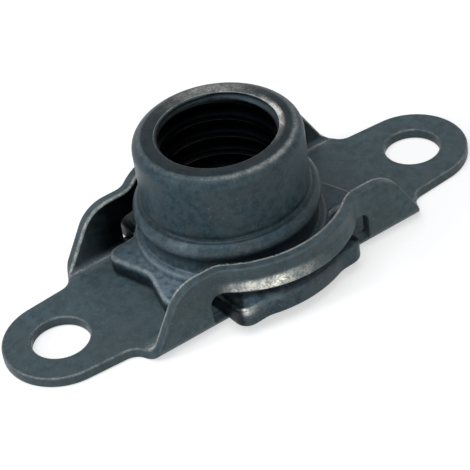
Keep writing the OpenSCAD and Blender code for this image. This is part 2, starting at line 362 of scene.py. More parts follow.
def blank_quarter(c):
    """Quarter of the flat blank: lug, spreading edge, hollow, sloping end, shoulder and top."""
    rivet_x = c.rivet_pitch / 2
    edge_n = np.array([math.sin(c.lug_taper), math.cos(c.lug_taper)])
    slope_n = np.array([math.sin(c.wall_slope), math.cos(c.wall_slope)])
    reaches = [c.lug + c.notch + edge_n[0] * rivet_x,
               c.notch + slope_n @ [c.wall_len / 2, c.fold_line]]
    hollow = np.linalg.solve(np.array([edge_n, slope_n]), reaches)
    shoulder_foot = c.blank_top - c.shoulder * (1 - math.cos(c.wall_slope))
    shoulder_x = (c.wall_len / 2 - (shoulder_foot - c.fold_line) / math.tan(c.wall_slope)
                  - c.shoulder * math.sin(c.wall_slope))
    shoulder = (shoulder_x, c.blank_top - c.shoulder)
    return np.vstack([
        arc((rivet_x, 0), c.lug, 0, math.pi / 2 - c.lug_taper, 60),
        arc(hollow, c.notch, 1.5 * math.pi - c.lug_taper, 1.5 * math.pi - c.wall_slope, 24),
        arc(shoulder, c.shoulder, math.pi / 2 - c.wall_slope, math.pi / 2, 40),
        [[0, c.blank_top]],
    ])


def window_loop(c):
    """Outline of a window in the blank, clockwise: a rectangle with its lower corners smaller."""
    half, low, top, r = c.window_len / 2, c.blank_window_foot, c.blank_window_top, c.window_corner
    foot_r = r * FOOT_CORNER_SHARE
    return np.vstack([
        arc((-half + foot_r, low + foot_r), foot_r, 1.5 * math.pi, math.pi),
        arc((-half + r, top - r), r, math.pi, math.pi / 2),
        arc((half - r, top - r), r, math.pi / 2, 0),
        arc((half - foot_r, low + foot_r), foot_r, 0, -math.pi / 2),
    ])


def blank_loops(c):
    """Every edge of the blank, with the sheet on its left, and its share of the edge rounding."""
    turn = 2 * math.pi
    holes = [arc((side * c.rivet_pitch / 2, 0), c.rivet_hole, turn, 0, 180)[:-1]
             for side in (-1, 1)]
    screw = arc((0, 0), c.screw_hole, turn, 0, 240)[:-1]
    window = window_loop(c)
    loops = [four_quarters(blank_quarter(c)), *holes, window, (window * [1, -1])[::-1], screw]
    return [(even_steps(loop, RIM_STEP), SCREW_EDGE_SHARE if loop is screw else 1)
            for loop in loops]


def swell_line(c, x):
    """An upright wall's middle line from above: circle round the nut, hollow arc and straight."""
    x = np.abs(x)
    swell_r = c.bulge - c.sheet / 2
    hollow_r = c.run_out + c.sheet / 2
    straight = c.wall_width / 2 - c.sheet / 2
    hollow_y = straight + hollow_r
    hollow_x = math.sqrt((swell_r + hollow_r) ** 2 - hollow_y ** 2)
    touch_x = hollow_x * swell_r / (swell_r + hollow_r)
    crown = np.sqrt(np.maximum(swell_r ** 2 - x ** 2, 0))
    run = hollow_y - np.sqrt(np.maximum(hollow_r ** 2 - (x - hollow_x) ** 2, 0))
    return np.where(x < touch_x, crown, np.where(x < hollow_x, run, straight))


def lip_flare(c, x, z):
    """How far the lip stands out: the gap between its flatter arc and the bulge, fading upwards
    with a soft crease."""
    half = c.lip_chord / 2
    crown = c.bulge + c.lip_reach
    sagitta = crown - math.sqrt(c.bulge ** 2 - half ** 2)
    arc_r = (half ** 2 + sagitta ** 2) / (2 * sagitta)
    inside = np.clip(np.abs(x), 0, half)
    gap = crown - arc_r + np.sqrt(arc_r ** 2 - inside ** 2) - np.sqrt(c.bulge ** 2 - inside ** 2)
    fade = 1 - (z - c.window_top) / c.lip_height
    eased = np.maximum(fade, 0) ** 2 / (2 * LIP_CREASE)
    fade = np.where(fade < LIP_CREASE, eased, fade - LIP_CREASE / 2)
    return np.maximum(gap, 0) * fade / (1 - LIP_CREASE / 2)


def folded_middle(c, u, v):
    """Middle of the sheet: flat up to the fold line, round the fold, then up the swelling line."""
    s = np.abs(v)
    turn = np.clip((s - c.fold_line) / c.fold_mid, 0, math.pi / 2)
    rise = np.maximum(s - c.fold_end, 0)
    y = np.minimum(s, c.fold_line) + c.fold_mid * np.sin(turn)
    z = c.fold_out - c.fold_mid * np.cos(turn) + rise
    upright = s > (c.blank_window_foot + c.blank_window_top) / 2
    y = np.where(upright, swell_line(c, u) + lip_flare(c, u, z), y)
    return np.stack([u, np.where(v < 0, -y, y), z], axis=-1)


def folded_sheet(c, u, v, w):
    """A point of the sheet: its middle plus w along the normal, the cross product of two slopes."""
    along = folded_middle(c, u + FINITE_STEP, v) - folded_middle(c, u - FINITE_STEP, v)
    across = folded_middle(c, u, v + FINITE_STEP) - folded_middle(c, u, v - FINITE_STEP)
    normal = np.cross(along, across)
    normal /= np.linalg.norm(normal, axis=-1, keepdims=True)
    point = folded_middle(c, u, v) + w[..., None] * normal
    s = np.abs(v)
    low = (s > c.fold_line) & (s < (c.fold_end + c.blank_window_top) / 2)
    sill = (np.abs(u) < c.window_len / 2) & low
    point[..., 2] = np.where(sill, np.minimum(point[..., 2], c.sheet), point[..., 2])
    return point


def edge_profile(sheet, edge, steps=6):
    """Section of a cut edge from top to bottom, with quarter circles at its corners: inset from
    the cut, height over the middle, wear and upper ridge."""
    turn = np.linspace(0, math.pi / 2, steps)
    rounded = sheet / 2 - edge * (1 - np.cos(turn))
    inset = np.concatenate([[edge + RIM_MARGIN], edge * (1 - np.sin(turn)), [0]])
    height = np.concatenate([[sheet / 2], rounded, [rounded[-1] / 2]])
    wear = np.concatenate([[0], np.sin(2 * turn), [0]])
    ridge = np.concatenate([[0], np.sin(turn) > RIDGE_START, [0]])
    return (np.concatenate([inset, inset[::-1]]), np.concatenate([height, -height[::-1]]),
            np.concatenate([wear, wear[::-1]]), np.concatenate([ridge, 0 * ridge]))


def clear_of_holes(c, u, s, margin):
    """Which points of the blank lie further than a margin from every hole and window."""
    middle = (c.blank_window_foot + c.blank_window_top) / 2
    corner = np.where(s > middle, c.window_corner, c.window_corner * FOOT_CORNER_SHARE)
    over_u = np.maximum(np.abs(u) - c.window_len / 2 + corner, 0)
    over_s = np.maximum(np.abs(s - middle) - (c.blank_window_top - middle) + corner, 0)
    away = np.hypot(over_u, over_s) - corner
    away = np.minimum(away, np.hypot(np.abs(u) - c.rivet_pitch / 2, s) - c.rivet_hole)
    screw = np.hypot(u, s) - c.screw_hole
    return (away > margin) & (screw > margin * SCREW_EDGE_SHARE)


def inner_points(c, margin):
    """Grid points of the blank away from its edges: close rows where the sheet bends, wide ones
    where it is flat."""
    rows = np.concatenate([
        np.arange(0, c.fold_line, FLOOR_ROWS),
        np.arange(c.fold_line, c.fold_end, FOLD_ROWS),
        np.arange(c.fold_end, c.blank_window_top, WINDOW_ROWS),
        np.arange(c.blank_window_top, c.blank_top, WALL_ROWS),
    ])
    columns = np.arange(GRID_STEP / 2, c.rivet_pitch / 2 + c.lug, GRID_STEP)
    u, s = (grid.ravel() for grid in np.meshgrid(columns, rows))
    quarter = blank_quarter(c)[::-1]
    reach = np.interp(u + margin, quarter[:, 0], quarter[:, 1], right=0) - margin
    inside = (s < reach) & clear_of_holes(c, u, s, margin)
    u, s = u[inside], s[inside]
    both = s > 0
    u, v = np.concatenate([u, u[both]]), np.concatenate([s, -s[both]])
    return np.column_stack([np.concatenate([u, -u]), np.concatenate([v, v])])


def cage_masks(c, u, v, w, wear, ridge, margin):
    """From each vertex's place on the blank: the strongest of the bare edges and the painted
    highlights on wall tops, creases and lips, and the painted shade on the inner faces of the
    walls."""
    s, ahead = np.abs(v), u * np.sign(v)
    upright = ramp(s, c.fold_line, c.fold_mid)
    inner_side = np.clip(w / c.sheet + 0.5, 0, 1)
    inner_face = w > INNER_FACE * c.sheet
    over_window = s - c.blank_window_top
    in_window = np.abs(u) < c.window_len / 2 + margin
    sill = in_window & (upright > 0) & (over_window < -c.window_corner)
    edge_rub = EDGE_RUB * np.where(upright > 0.5, OUTER_RUB + (1 - OUTER_RUB) * inner_side, 1)
    on_edge = wear * np.where(sill, SILL_RUB, edge_rub)
    # Painted highlight lines on the walls' top edges
    top_strength = RIDGE_HIGHLIGHT + TOP_HIGHLIGHT * bell(ahead - TOP_HIGHLIGHT_PLACE, TOP_HIGHLIGHT_LENGTH)
    painted_top_line = ridge * upright * top_strength * ~(in_window & (over_window < c.sheet))
    at_end = ramp(np.abs(u), CREASE_START, CREASE_FADE)
    # Painted highlight line along the fold near the wall ends
    at_crease = bell(s - c.fold_line - CREASE_SHIFT, CREASE_WIDTH)
    painted_crease_line = CREASE_HIGHLIGHT * at_crease * at_end * inner_face
    # Painted highlight band on the lip, strongest a little way along the wall
    beyond = ahead - LIP_HIGHLIGHT_PLACE
    along_lip = bell(beyond, np.where(beyond > 0, LIP_HIGHLIGHT_SHORT, LIP_HIGHLIGHT_LONG))
    up_lip = ramp(LIP_HIGHLIGHT_HEIGHT - over_window, 0, LIP_HIGHLIGHT_FADE) * (over_window > -2 * margin)
    painted_lip_band = LIP_HIGHLIGHT * along_lip * up_lip * (1 - inner_side)
    # Painted shade on the walls' inner faces, fading towards the wall ends
    inside = ramp(s, c.fold_line + c.fold_mid / 2, c.fold_mid)
    middle = np.maximum(ramp(SHADE_END - np.abs(u), 0, SHADE_FADE), SHADE_LEAST)
    return {
        WEAR_AND_HIGHLIGHT: np.max([on_edge, painted_top_line, painted_crease_line, painted_lip_band], axis=0),
        PAINTED_SHADE: WALL_SHADE * inside * middle * inner_face,
    }


def cage_mesh(c):
    """The cage's vertices, faces and masks: edge profiles carried along every loop of the blank,
    joined above and below by the same triangles, and all of it folded up at once."""
    add_fold_sizes(c)
    inset, height, wear, ridge = edge_profile(c.sheet, c.edge_round)
    count, margin = len(inset), inset[0]
    rims, quads, edges, top_ids = [], [], [], []
    base = first = 0
    for loop, edge_share in blank_loops(c):
        inward = left_normals(loop)[:, None, :]
        rims.append(loop[:, None, :] + edge_share * inset[None, :, None] * inward)
        ids = base + np.arange(len(loop) * count).reshape(len(loop), count)
        after = np.roll(ids, -1, axis=0)
        quad = np.stack([ids[:, :-1], ids[:, 1:], after[:, 1:], after[:, :-1]], axis=-1)
        quads.append(quad.reshape(-1, 4))
        step = np.arange(len(loop))
        edges.append(first + np.column_stack([step, np.roll(step, -1)]))
        top_ids.append(ids[:, 0])
        base += ids.size
        first += len(loop)
    flat = inner_points(c, margin + GRID_MARGIN)
    corners = np.vstack([ring[:, 0] for ring in rims] + [flat])
    result = delaunay_2d_cdt(corners.tolist(), np.vstack(edges).tolist(), [], INSIDE_WITH_HOLES,
                             MERGE_DISTANCE)
    if len(result[0]) != len(corners):
        raise RuntimeError("The blank's loops meet each other: change a size of the cage")
    triangles = np.array(result[2])
    centre = np.abs(corners[triangles].mean(axis=1))
    triangles = triangles[clear_of_holes(c, centre[:, 0], centre[:, 1], margin + TRIANGLE_SLACK)]
    inner = np.arange(len(flat))
    upper = np.concatenate(top_ids + [base + inner])
    lower = np.concatenate([ids + count - 1 for ids in top_ids] + [base + len(flat) + inner])
    faces = (np.vstack(quads).tolist() + upper[triangles].tolist()
             + lower[triangles[:, ::-1]].tolist())

    def everywhere(profile, above, below):
        """One value per vertex: the profile's along every loop, then those of the flat points."""
        return np.concatenate([np.tile(profile, len(ring)) for ring in rims] + [above, below])

    u, v = (np.concatenate([ring[..., axis].ravel() for ring in rims] + 2 * [flat[:, axis]])
            for axis in (0, 1))
    thick, none = np.full(len(flat), c.sheet / 2), np.zeros(len(flat))
    w = everywhere(height, thick, -thick)
    wear, ridge = everywhere(wear, none, none), everywhere(ridge, none, none)
    masks = cage_masks(c, u, v, w, wear, ridge, margin)
    return folded_sheet(c, u, v, w), faces, masks


# The nut: rings on a plate outline, rings on circles, and a thread

# Steps, fillets and slack of its mesh in millimetres, easing, and rows in a pitch of the thread
COLUMN_STEP = 0.12
EASING_PASSES = 4
THREAD_ROWS = 20
COLLAR_CLEARANCE = 0.02
COLLAR_FOOT = 0.05
WAIST_FOOT = 0.12
MOUTH_EDGE = 0.1
BORE_START = 0.12
SLACK = 0.01

# Thread: how much its flanks are eased, and how fast the cones at its mouths narrow and widen
FLANK_EASE = 0.35
MOUTH_CONE = 0.7
MOUTH_UNDERCUT = 1.3
LEAD_CONE = 1.0
LEAD_UNDERCUT = 0.4

# Even wear of the turned edges: strength, and where along the edge its middle lies
PLAIN = (0, 0.5)
COLLAR_WEAR = (0.25, 0.5)
BEAD_WEAR = (0.12, 0.5)
RIM_WEAR = (0.2, 0.74)
MOUTH_WEAR = (1.2, 0.5)
WEAR_WIDTH = 0.12

# Painted highlights: strength, angle round the axis in degrees, and width of the bell in radians
CREST_HIGHLIGHT = (0.6, -72, 0.75)
EAR_HIGHLIGHT = (2.4, -120, 0.09)
MOUTH_HIGHLIGHT = (2.6, -19, 0.4)

# Wider marks, a painted reflection on the rim's top, a painted highlight on the bead and real wear
# of the plate's edges: strengths, angle and sharpness of a lobe, and its reach down the bead
RIM_REFLECTION = 0.7
RIM_REFLECTION_LOBE = (62, 6)
BEAD_HIGHLIGHT = 0.05
BEAD_LOBE = (-152, 50)
BEAD_HIGHLIGHT_DROP = 0.3
PLATE_RUB = 0.45
EAR_EDGE_RUB = 0.2

# Painted shade on the grooves, the plate's end walls and the thread, and a darker rim top:
# strengths, where an end wall begins, and the lighter first crest of the thread
RIM_TOP_DARKENING = 0.65
NECK_SHADE = 0.5
WAIST_SHADE = 0.2
EAR_WALL_SHADE = 0.85
FORK_SHADE = 0.6
END_WALL_START = 0.5
END_WALL_RUN = 0.3
FIRST_CREST_LIGHT = 0.75
FIRST_CREST_DEPTH = 0.36
FIRST_CREST_WIDTH = 0.12

# Painted bluish sheen: strengths, the lobe on the lit side and the sharpness of those over the ears
COLLAR_SHEEN = 0.9
WAIST_SHEEN = 0.15
BEAD_SHEEN = 0.5
SHEEN_LOBE = (205, 3)
EAR_SHEEN_SHARPNESS = 16


def plate_outline(n):
    """The plate's outline: fork, inner corner, ear and belly in four quarters, eased and turned."""
    half_fork = n.fork_width / 2
    slant = math.atan(n.fork_depth / half_fork)
    root_x = n.plate_len / 2 - n.fork_depth + n.fork_root
    tip_x = root_x + half_fork * math.tan(slant) - n.fork_root / math.cos(slant)
    tip_centre = (tip_x - n.fork_corner * math.tan(math.pi / 4 + slant / 2),
                  half_fork - n.fork_corner)
    ear_x, ear_y = n.ear_len / 2, n.ear_width / 2
    inner_centre = (ear_x + n.inner_corner, half_fork + n.inner_corner)
    belly_turn = math.acos(math.sqrt(n.belly ** 2 - ear_y ** 2) / n.belly)
    quarter = np.vstack([
        arc((root_x, 0), n.fork_root, math.pi, math.pi - slant),
        arc(tip_centre, n.fork_corner, -slant, math.pi / 2),
        arc(inner_centre, n.inner_corner, 1.5 * math.pi, math.pi),
        arc((ear_x - n.ear_corner, ear_y - n.ear_corner), n.ear_corner, 0, math.pi / 2),
        arc((0, 0), n.belly, belly_turn, math.pi / 2, 30),
    ])
    outline = soften(even_steps(four_quarters(quarter), COLUMN_STEP), EASING_PASSES)
    cosine, sine = math.cos(n.turn), math.sin(n.turn)
    return outline @ np.array([[cosine, sine], [-sine, cosine]])


def turned_profile(n):
    """Radius, height and wear from the plate's top to the mouth: collar, waist, bead, neck, barrel
    and rim, as arcs that touch, each worn in a bell along its length."""
    half, quarter = math.pi, math.pi / 2
    collar_r, collar_top = n.collar - n.collar_round, n.plate + n.collar_height
    bead_r, neck_r = n.bead - n.bead_round, n.barrel + n.neck
    bead_start = -math.acos((n.waist - bead_r) / n.bead_round)
    bead_end = math.acos((neck_r - bead_r) / (n.bead_round + n.neck))
    neck_z = n.bead_height + (n.bead_round + n.neck) * math.sin(bead_end)
    rim_r, lip_r = n.barrel - n.rim, n.mouth + MOUTH_EDGE
    collar_foot = (n.collar + COLLAR_FOOT, n.plate + COLLAR_FOOT)
    waist_foot = (n.waist + WAIST_FOOT, collar_top + WAIST_FOOT)
    barrel_z = np.linspace(neck_z + n.neck, n.height - 1.5 * n.rim, 6)
    pieces = [
        (arc(collar_foot, COLLAR_FOOT, -quarter, -half, 4), PLAIN),
        (arc((collar_r, collar_top - n.collar_round), n.collar_round, 0, quarter, 9), COLLAR_WEAR),
        (arc(waist_foot, WAIST_FOOT, -quarter, -half, 5), PLAIN),
        (arc((bead_r, n.bead_height), n.bead_round, bead_start, bead_end, 19), BEAD_WEAR),
        (arc((neck_r, neck_z), n.neck, bead_end - half, -half, 7), PLAIN),
        (np.column_stack([np.full(len(barrel_z), n.barrel), barrel_z]), PLAIN),
        (arc((rim_r, n.height - n.rim), n.rim, 0, quarter, 17), RIM_WEAR),
        (np.array([[(rim_r + lip_r) / 2, n.height]]), PLAIN),
        (arc((lip_r, n.height - MOUTH_EDGE), MOUTH_EDGE, quarter, half, 7), MOUTH_WEAR),
    ]
    points = np.vstack([points for points, _ in pieces])
    wear = np.concatenate([worn_and_lit * bell(np.linspace(0, 1, len(points)) - place, WEAR_WIDTH)
                           for points, (worn_and_lit, place) in pieces])
    return points[:, 0], points[:, 1], wear


def thread_radius(n, turn, z):
    """Radius of the bore: a right-hand helix with flat crests and roots, and cones at its ends."""
    pitch = n.thread_pitch
    crest = n.height + pitch * (turn - math.pi) / (2 * math.pi)
    away = np.abs((z - crest + pitch / 2) % pitch - pitch / 2)
    flank = ramp(away, pitch / 8, pitch / 2 - pitch / 8 - pitch / 16)
    flank = flank * flank * (3 - 2 * flank) * FLANK_EASE + flank * (1 - FLANK_EASE)
    radius = n.thread_minor + (n.thread_root - n.thread_minor) * flank
    depth = n.height - z
    radius = np.clip(radius, n.mouth - MOUTH_CONE * depth, n.mouth + MOUTH_UNDERCUT * depth)
    return np.clip(radius, n.lead_in - LEAD_CONE * z, n.lead_in + LEAD_UNDERCUT * z)


def rings(places, heights):
    """Rings of points: a row of places from above for each ring, at that ring's height."""
    level = np.broadcast_to(heights[:, None, None], (*places.shape[:2], 1))
    return np.concatenate([places, level], axis=-1)


def nut_masks(n, outline, turn, plate_edge, turned, levels):
    """The nut's bare edges with painted highlights and a painted reflection, its painted shade and
    its painted sheen: for plate, turned part and bore, a mask along the section times a mask round
    the axis."""
    height, edge_wear, ridge = (row[:, None] for row in plate_edge)
    r, z, turned_wear = (row[:, None] for row in turned)
    on_ear = np.abs(outline[:, 1]) > n.fork_width / 2
    end_wall = ramp(np.abs(left_normals(outline)[:, 0]), END_WALL_START, END_WALL_RUN)
    ear_wall = end_wall * on_ear
    top_half = height > n.plate / 2
    rim_top = z > n.height - SLACK
    crest = (z > n.height - n.rim) * (r > n.mouth + 2 * MOUTH_EDGE) * turned_wear / RIM_WEAR[0]
    mouth = r < n.mouth + MOUTH_EDGE + SLACK
    bead = (r > n.waist) & (z > n.bead_height - BEAD_HIGHLIGHT_DROP * n.bead_round)
    at_bead = bead * lobe(turn, *BEAD_LOBE)
    # Painted highlights at the ears' corners, added to the plate's worn edges
    at_ear = painted_spot(turn, *EAR_HIGHLIGHT) + painted_spot(-turn, *EAR_HIGHLIGHT)
    plate_worn_and_lit = (PLATE_RUB * np.where(on_ear, EAR_EDGE_RUB, 1) * edge_wear
                  + np.maximum(edge_wear * top_half, ridge) * at_ear)
    # Worn turned edges, plus painted highlights on the bead, crest and mouth and a painted
    # reflection on the rim's top
    turned_worn_and_lit = (turned_wear + BEAD_HIGHLIGHT * at_bead + RIM_REFLECTION * rim_top * lobe(turn, *RIM_REFLECTION_LOBE)
                   + crest * painted_spot(turn, *CREST_HIGHLIGHT) + mouth * painted_spot(turn, *MOUTH_HIGHLIGHT))
    # Painted shade on the plate's end walls, the grooves and the thread, less on its first crest,
    # and a darker rim top
    below_edge = height < n.plate - n.plate_edge
    plate_shade = np.maximum(EAR_WALL_SHADE * ear_wall, FORK_SHADE * end_wall * below_edge)
    groove = (r < n.waist + SLACK) & (z < n.bead_height + n.bead_round + n.neck)
    groove_shade = np.where(z > n.bead_height, NECK_SHADE, WAIST_SHADE) * groove
    turned_shade = np.maximum(RIM_TOP_DARKENING * rim_top, groove_shade)
    first_crest = bell(n.height - levels - FIRST_CREST_DEPTH, FIRST_CREST_WIDTH)
    bore_shade = 1 - FIRST_CREST_LIGHT * first_crest[:, None]
    # Painted sheen on the lit side of the plate, collar and waist, on the bead and over the ears
    lit_side = lobe(turn, *SHEEN_LOBE)
    at_ears = np.abs(np.sin(turn)) ** EAR_SHEEN_SHARPNESS
    plate_sheen = np.maximum(top_half * lit_side, (height > n.plate - SLACK) * at_ears)
    low = np.where(z < n.bead_height + n.bead_round, WAIST_SHEEN, 0)
    low = np.where(z < n.plate + 2 * n.collar_height, COLLAR_SHEEN, low)
    turned_sheen = np.maximum(low * lit_side, BEAD_SHEEN * at_bead)
    masks = {
        WEAR_AND_HIGHLIGHT: (plate_worn_and_lit * (1 - ear_wall), turned_worn_and_lit, 0 * bore_shade),
        PAINTED_SHADE: (plate_shade, turned_shade, bore_shade),
        PAINTED_SHEEN: (plate_sheen, turned_sheen, 0 * bore_shade),
    }
    return {name: np.concatenate([part + 0 * turn for part in parts]).ravel()
            for name, parts in masks.items()}


def nut_mesh(n, seat):
    """The nut's vertices, faces and masks: one closed grid of rings, out under the plate, round
    its edge, up the turned barrel, over the rim and down the thread to the start."""
    outline = plate_outline(n)
    turn = np.arctan2(outline[:, 1], outline[:, 0])
    unit = np.column_stack([np.cos(turn), np.sin(turn)])
    inset, height, wear, ridge = (part[::-1] for part in edge_profile(n.plate, n.plate_edge))
    height = height + n.plate / 2
    r, z, turned_wear = turned_profile(n)
    levels = np.linspace(n.height - BORE_START, 0, round(THREAD_ROWS * n.height / n.thread_pitch))
    plate = outline[None] + inset[:, None, None] * left_normals(outline)[None]
    reach = np.linalg.norm(plate, axis=-1, keepdims=True)
    bore_r = thread_radius(n, turn[None], levels[:, None])
    grid = np.concatenate([
        rings(plate * np.maximum(reach, r[0] + COLLAR_CLEARANCE) / reach, height),
        rings(r[:, None, None] * unit[None], z),
        rings(bore_r[..., None] * unit[None], levels),
    ])
    ids = np.arange(grid.shape[0] * grid.shape[1]).reshape(grid.shape[:2])
    right, above = np.roll(ids, -1, axis=1), np.roll(ids, -1, axis=0)
    corner = np.roll(right, -1, axis=0)
    faces = np.stack([ids, right, corner, above], axis=-1).reshape(-1, 4).tolist()
    masks = nut_masks(n, outline, turn, (height, wear, ridge), (r, z, turned_wear), levels)
    return grid.reshape(-1, 3) + [n.axis_x, n.axis_y, seat], faces, masks


# Finishes: scales of the noise per metre, ranges of it that count, and shares of what is mixed in

BLOTCH_SCALES = {"cage": 420.0, "nut": 480.0}
BLOTCH_FINER = 5.0
BLOTCH_SHARE = 0.65
BLOTCH_RANGE = (0.4, 0.62)
FINE_RANGE = (0.3, 0.7)
GRAIN_SCALE = 9000.0
GRAIN_BROADER = 0.2
GRAIN_SHARE = 0.5
SPECK_RANGE = (0.58, 0.78)
WEAR_PATCHES = {"scale": 1800.0, "detail": 4.0, "range": (0.35, 0.65, 0.4, 1.0)}
WEAR_SPECKS = {"scale": 9000.0, "detail": 2.0, "range": (0.4, 0.6, 0.5, 1.0)}
WEAR_AMOUNT = 0.7
CLOUD_DARK, CLOUD_LIGHT = 0.74, 1.24
STAIN_SHARE = 0.55
SPECK_SHARE = 0.15
# Least share of the painted sheen where the fine noise is low
SHEEN_LEAST = 0.35
SMOOTHER, ROUGHER = 0.06, 0.08
BARE_SMOOTHER = 0.15
BARE_METAL = 0.5
BUMP_STRENGTH = 0.8
BUMP_DEPTH = 0.03 * MM
FLOOR_GLOW = 0.58


def new_group(name, numbers, outputs):
    """An empty shader node group: coordinates and numbers with defaults go in, numbers come out."""
    group = bpy.data.node_groups.new(name, "ShaderNodeTree")
    new_socket = group.interface.new_socket
    new_socket(name="Vector", in_out="INPUT", socket_type="NodeSocketVector")
    for socket_name, default in numbers.items():
        socket = new_socket(name=socket_name, in_out="INPUT", socket_type="NodeSocketFloat")
        socket.default_value = default
    for socket_name in outputs:
        new_socket(name=socket_name, in_out="OUTPUT", socket_type="NodeSocketFloat")
    return group, group.nodes.new("NodeGroupInput"), group.nodes.new("NodeGroupOutput")


def set_or_link(tree, socket, value):
    """Links another socket to a socket, or gives it a plain number or colour."""
    if isinstance(value, bpy.types.NodeSocket):
        tree.links.new(value, socket)
    else:
        socket.default_value = value


def add_noise(tree, coordinates, scale, detail, roughness=0.55):
    """A noise texture on the given coordinates."""
    noise = tree.nodes.new("ShaderNodeTexNoise")
    noise.inputs["Detail"].default_value = detail
    noise.inputs["Roughness"].default_value = roughness
    tree.links.new(coordinates, noise.inputs["Vector"])
    set_or_link(tree, noise.inputs["Scale"], scale)
    return noise.outputs["Fac"]


def add_range(tree, value, low, high, out_low=0.0, out_high=1.0):
    """A smooth remap of a value from one range to another."""
    node = tree.nodes.new("ShaderNodeMapRange")
    node.interpolation_type = "SMOOTHSTEP"
    tree.links.new(value, node.inputs["Value"])
    limits = zip(("From Min", "From Max", "To Min", "To Max"), (low, high, out_low, out_high))
    for socket_name, limit in limits:
        node.inputs[socket_name].default_value = limit
    return node.outputs["Result"]


def add_math(tree, operation, first, second):
    """A sum, product or the like of two values or sockets."""
    node = tree.nodes.new("ShaderNodeMath")
    node.operation = operation
    for socket, value in zip(node.inputs, (first, second)):
        set_or_link(tree, socket, value)
    return node.outputs["Value"]


def add_blend(tree, first, second, part):
    """A part of the first value plus the rest of the second."""
    first = add_math(tree, "MULTIPLY", first, part)
    second = add_math(tree, "MULTIPLY", second, 1 - part)
    return add_math(tree, "ADD", first, second)


def add_mix(tree, factor, first, second):
    """A colour between two colours."""
    node = tree.nodes.new("ShaderNodeMix")
    node.data_type = "RGBA"
    tree.links.new(factor, node.inputs["Factor"])
    for socket, value in zip(node.inputs[6:8], (first, second)):
        plain = not isinstance(value, bpy.types.NodeSocket)
        set_or_link(tree, socket, (*value, 1.0) if plain else value)
    return node.outputs[2]


def add_mask(tree, name):
    """A mask that is stored on the mesh's points."""
    node = tree.nodes.new("ShaderNodeAttribute")
    node.attribute_name = name
    return node.outputs["Fac"]


def blotch_group():
    """Cloudy patches of the coating: two sizes of noise in one mask."""
    numbers = {"Scale": BLOTCH_SCALES["cage"]}
    group, start, end = new_group("coating_blotches", numbers, ("Mask", "Fine"))
    place, scale = start.outputs["Vector"], start.outputs["Scale"]
    broad = add_noise(group, place, scale, detail=4.0)
    close = add_noise(group, place, add_math(group, "MULTIPLY", scale, BLOTCH_FINER), detail=3.0)
    both = add_blend(group, broad, close, BLOTCH_SHARE)
    group.links.new(add_range(group, both, *BLOTCH_RANGE), end.inputs["Mask"])
    group.links.new(close, end.inputs["Fine"])
    return group


def grain_group():
    """Fine crystalline grain of the coating, as a height and a mask of bright specks."""
    group, start, end = new_group("coating_grain", {"Scale": GRAIN_SCALE}, ("Height", "Specks"))
    place, scale = start.outputs["Vector"], start.outputs["Scale"]
    fine = add_noise(group, place, scale, detail=3.0, roughness=0.6)
    broader = add_math(group, "MULTIPLY", scale, GRAIN_BROADER)
    broad = add_noise(group, place, broader, detail=2.0)
    group.links.new(add_blend(group, fine, broad, GRAIN_SHARE), end.inputs["Height"])
    group.links.new(add_range(group, fine, *SPECK_RANGE), end.inputs["Specks"])
    return group


def worn_and_lit_group():
    """Bare metal of scuffed edges and painted highlights: the mask times an amount, broken up by
    noise of two sizes.
    """
    group, start, end = new_group("worn_edges", {"Edge": 0.0, "Amount": WEAR_AMOUNT}, ("Mask",))
    place = start.outputs["Vector"]
    patches, specks = (
        add_range(group, add_noise(group, place, part["scale"], part["detail"]), *part["range"])
        for part in (WEAR_PATCHES, WEAR_SPECKS))
    broken = add_math(group, "MULTIPLY", patches, specks)
    worn_and_lit = add_math(group, "MULTIPLY", start.outputs["Edge"], broken)
    group.links.new(add_math(group, "MULTIPLY", worn_and_lit, start.outputs["Amount"]), end.inputs["Mask"])
    return group


def place_group(tree, name, build, inputs):
    """A node of the shared group of that name, built on first use, its inputs set or linked."""
    node = tree.nodes.new("ShaderNodeGroup")
    node.node_tree = bpy.data.node_groups.get(name) or build()
    for socket_name, value in inputs.items():
        set_or_link(tree, node.inputs[socket_name], value)
    return node.outputs


